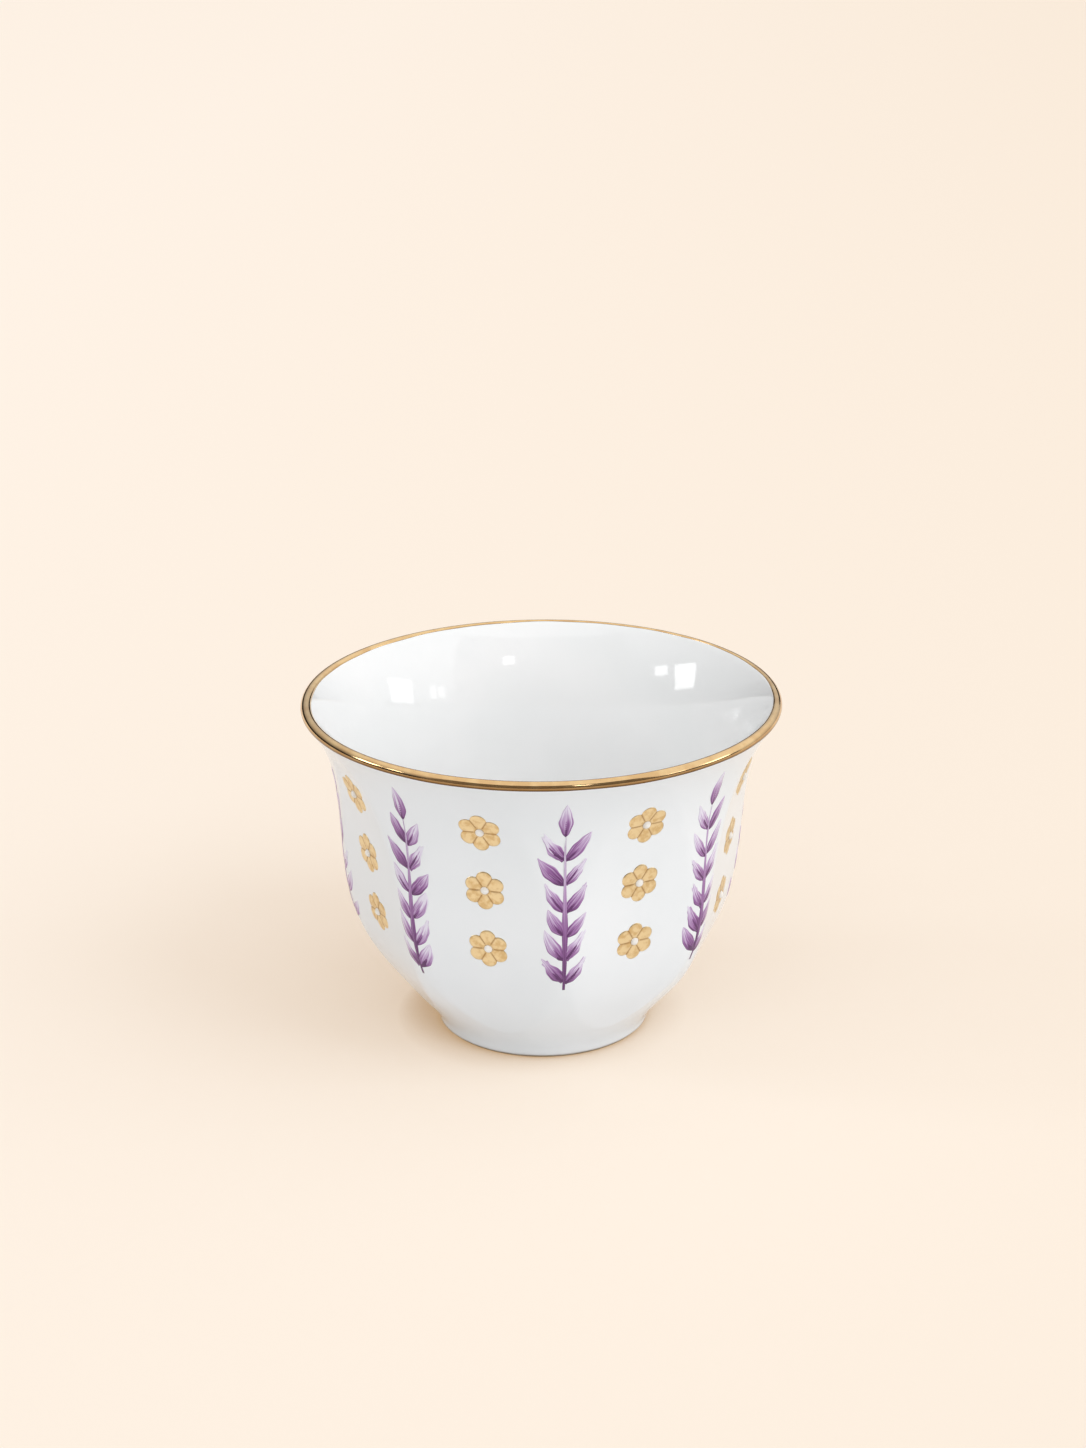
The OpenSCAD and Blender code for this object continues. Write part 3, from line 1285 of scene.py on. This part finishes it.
def stage_mesh(name: str, points: list, faces: list, material: Material) -> Object:
    """Makes a mesh that belongs to the studio and not to the cup.

    Args:
        name: its name.
        points: its points in metres.
        faces: its faces.
        material: its material.

    Returns:
        The object, linked to the scene.
    """
    mesh = bpy.data.meshes.new(name)
    mesh.from_pydata(points, [], faces)
    mesh.materials.append(material)
    thing = bpy.data.objects.new(name, mesh)
    bpy.context.scene.collection.objects.link(thing)
    return thing


def hang(name: str, kind: str, way: Vector) -> Object:
    """Hangs a lamp that shines at the cup.

    Args:
        name: its name.
        kind: its type.
        way: from the cup to the lamp.

    Returns:
        The lamp, linked to the scene.
    """
    lamp = bpy.data.objects.new(name, bpy.data.lights.new(name, kind))
    lamp.rotation_euler = (-way).to_track_quat("-Z", "Y").to_euler()
    bpy.context.scene.collection.objects.link(lamp)
    return lamp


@dataclass
class Studio:
    """A pale sweep under soft light, and the camera."""

    paper_glow: str = "#AE895A"
    paper_lit: str = "#C8D2D8"
    paper_far: str = "#C2C9CB"
    paper_drift: float = 0.25
    paper_way: tuple = (1.0, -0.25, 0.0)
    nook_reach: float = 0.006
    nook_open: tuple = (0.32, -0.77, 0.55)
    nook_low: float = 0.15
    nook_shade: float = 0.18
    bounce_glow: str = "#000000"
    bounce_lit: str = "#E8EAEC"
    floor_r: float = 6.0
    world_top: str = "#FFFFFF"
    world_low: str = "#5A5A5A"
    world_high: float = 0.78
    world_strength: float = 1.12
    world_tilt: tuple = (0.2, -0.42, 0.88)
    mirrored_low: str = "#5A5A5A"
    mirrored_high: float = 0.68
    mirrored_tilt: tuple = (0.3, 0.04, 1.0)
    far_card: str = "#1D1712"
    front_card: str = "#A0968A"
    card_steps: int = 48
    target_z: float = 46.45
    distance: float = 435.3
    pitch: float = 20.65
    azimuth: float = -6.0
    roll: float = -0.41
    focal_px: float = 2981.0
    image: tuple = (1086, 1448)
    shift_px: float = 1.6
    sensor: float = 36.0
    key_turn: float = 50.0
    key_rise: float = 47.0
    key_width: float = 30.0
    key_strength: float = 0.44
    aim_z: float = 0.045
    # Name, turn, rise, distance, width and height, and radiance
    panels: tuple = (
        ("left window pane", 83.0, 17.0, 2.2, (0.59, 0.44), 2.8),
        ("middle window pane", 61.5, 17.0, 2.2, (0.15, 0.24), 2.6),
        ("right window pane", 56.0, 17.0, 2.2, (0.17, 0.2), 2.4),
        ("lamp", 14.0, 36.0, 0.9, (0.09, 0.08), 7.0),
        ("side softbox", -97.0, 23.0, 2.2, (0.49, 0.49), 6.0),
        ("side softbox return", -81.0, 27.0, 2.2, (0.29, 0.2), 6.0),
    )

    def paper(self) -> Material:
        """Builds the sweep's paper.

        Returns:
            The material.
        """
        material, tree = new_material("studio paper, matt")
        # The eye, and what mirrors it, see warm paper; the light it throws back is neutral
        ray = add_node(tree, "LightPath").outputs
        seen = ray["Is Camera Ray"]
        for name in ("Is Glossy Ray", "Is Transmission Ray"):
            either = {0: seen, 1: ray[name]}
            seen = add_node(tree, "Math", either, operation="MAXIMUM").outputs[0]
        # Painted shade: the paper is a shade deeper towards the right and the front
        ways = {0: add_node(tree, "TexCoord").outputs["Object"], 1: self.paper_way}
        across = add_node(tree, "VectorMath", ways, operation="DOT_PRODUCT").outputs["Value"]
        ends = (-self.paper_drift, self.paper_drift)
        paper = faded(tree, across, ends, self.paper_lit, self.paper_far)
        # Painted shadow: an occlusion node darkens the paper where it runs in under the bowl,
        # away from the light
        opening = add_node(tree, "CombineXYZ", dict(zip("XYZ", self.nook_open))).outputs[0]
        nook = {"Distance": self.nook_reach, "Normal": opening}
        opened = add_node(tree, "AmbientOcclusion", nook, samples=4).outputs["AO"]
        ranged = {"Value": opened, "From Min": self.nook_low, "To Min": self.nook_shade}
        share = add_node(tree, "MapRange", ranged, interpolation_type="SMOOTHSTEP").outputs[0]
        shade = {0: paper, "Scale": share}
        shaded = add_node(tree, "VectorMath", shade, operation="SCALE").outputs[0]
        layers = []
        for kind, bounce, shown in (
            ("Emission", self.bounce_glow, linear(self.paper_glow)),
            ("BsdfDiffuse", self.bounce_lit, shaded),
        ):
            mix = {0: seen, 6: linear(bounce), 7: shown}
            colour = add_node(tree, "Mix", mix, data_type="RGBA").outputs[2]
            layers.append(add_node(tree, kind, {"Color": colour}).outputs[0])
        finish_material(tree, add_node(tree, "AddShader", dict(enumerate(layers))))
        return material

    def panel(
        self, name: str, turn: float, rise: float, away: float, size: tuple, glow: float
    ) -> None:
        """Hangs one bright panel that faces the bowl.

        Args:
            name: its name.
            turn: azimuth from -Y towards +X, in degrees.
            rise: height above the horizon, in degrees.
            away: its distance in metres.
            size: its width and height in metres.
            glow: its radiance.
        """
        way = direction(turn, rise)
        lamp = hang(name, "AREA", way)
        lamp.location = Vector((0, 0, self.aim_z)) + way * away
        lamp.data.shape = "RECTANGLE"
        lamp.data.size, lamp.data.size_y = size
        lamp.data.energy = glow * math.pi * size[0] * size[1]

    def card(self, name: str, shade: str, away: float, rise: tuple, turn: tuple) -> None:
        """Stands a curved card round the cup that only its reflections show.

        Args:
            name: its name.
            shade: its colour code.
            away: its distance in metres.
            rise: heights of its lower and upper edge above the horizon, in degrees.
            turn: azimuths of its ends from -Y towards +X, in degrees.
        """
        points = []
        for a in np.radians(np.linspace(*turn, self.card_steps + 1)):
            for e in rise:
                up = away * math.tan(math.radians(e))
                points.append((away * math.sin(a), -away * math.cos(a), up))
        faces = [(i, i + 1, i + 3, i + 2) for i in range(0, 2 * self.card_steps, 2)]
        material, tree = new_material("studio card, matt")
        finish_material(tree, add_node(tree, "BsdfDiffuse", {"Color": linear(shade)}))
        card = stage_mesh(name, points, faces, material)
        card.visible_camera = card.visible_diffuse = card.visible_shadow = False

    def sun(self) -> None:
        """Hangs the key light: wide, soft and even over the whole sweep, from the right."""
        key = hang("key", "SUN", direction(self.key_turn, self.key_rise))
        key.data.energy = self.key_strength
        key.data.angle = math.radians(self.key_width)
        key.visible_glossy = False

    def world(self) -> None:
        """Sets the room's light: even overhead, and dimmer near the horizon."""
        world = bpy.data.worlds.new("studio")
        world.use_nodes = True
        tree = world.node_tree
        tree.nodes.clear()
        place = add_node(tree, "TexCoord")
        rooms = []
        # One room lights the cup, mostly from the front; a paler one shows in what mirrors it
        for tilt, low, high in (
            (self.world_tilt, self.world_low, self.world_high),
            (self.mirrored_tilt, self.mirrored_low, self.mirrored_high),
        ):
            ways = {0: place.outputs["Generated"], 1: tilt}
            lean = add_node(tree, "VectorMath", ways, operation="DOT_PRODUCT")
            ramp = add_node(
                tree,
                "ValToRGB",
                {"Fac": lean.outputs["Value"]},
                stops=((0.0, low), (high, self.world_top)),
            )
            rooms.append(ramp.outputs["Color"])
        ray = add_node(tree, "LightPath")
        room = add_node(
            tree,
            "Mix",
            {0: ray.outputs["Is Glossy Ray"], 6: rooms[0], 7: rooms[1]},
            data_type="RGBA",
        )
        light = {"Color": room.outputs[2], "Strength": self.world_strength}
        glow = add_node(tree, "Background", light)
        add_node(tree, "OutputWorld", {"Surface": glow.outputs[0]})
        bpy.context.scene.world = world

    def camera(self) -> None:
        """Sets the camera at the photo's place."""
        data = bpy.data.cameras.new("camera")
        data.sensor_width = self.sensor
        data.lens = self.focal_px / max(self.image) * self.sensor
        data.shift_x = self.shift_px / max(self.image)
        data.clip_start, data.clip_end = 0.01, 30
        camera = bpy.data.objects.new("camera", data)
        way = direction(self.azimuth, self.pitch)
        place = Vector((0, 0, self.target_z * MM)) + way * self.distance * MM
        facing = (-way).to_track_quat("-Z", "Y").to_matrix().to_4x4()
        roll = Matrix.Rotation(math.radians(self.roll), 4, "Z")
        camera.matrix_world = Matrix.Translation(place) @ facing @ roll
        bpy.context.scene.collection.objects.link(camera)
        bpy.context.scene.camera = camera

    def build(self) -> None:
        """Sets the whole studio up."""
        r = self.floor_r
        corners = [(-r, -r, 0), (r, -r, 0), (r, r, 0), (-r, r, 0)]
        stage_mesh("paper_sweep", corners, [(0, 1, 2, 3)], self.paper())
        self.world()
        self.sun()
        self.card("far card", self.far_card, 2.4, (2.5, 13.0), (-212.0, 96.0))
        self.card("front card", self.front_card, 1.3, (4.0, 52.0), (-62.0, 48.0))
        for panel in self.panels:
            self.panel(*panel)
        self.camera()
        bpy.context.scene.view_settings.view_transform = "Standard"


def main() -> None:
    """Builds the cup piece by piece, then the studio."""
    logging.basicConfig(level=logging.INFO, format="%(message)s")
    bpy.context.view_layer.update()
    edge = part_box("rim_gilding")[1]
    form = CupForm(rim_r=edge.x / MM - SLACK, height=edge.z / MM - SLACK)
    PorcelainBody(form).build()
    GlazeCoat(form).build()
    LipGilding(form).build()
    LeafSprays(form).build()
    Rosettes(form).build()
    Studio().build()


if __name__ == "__main__":
    main()
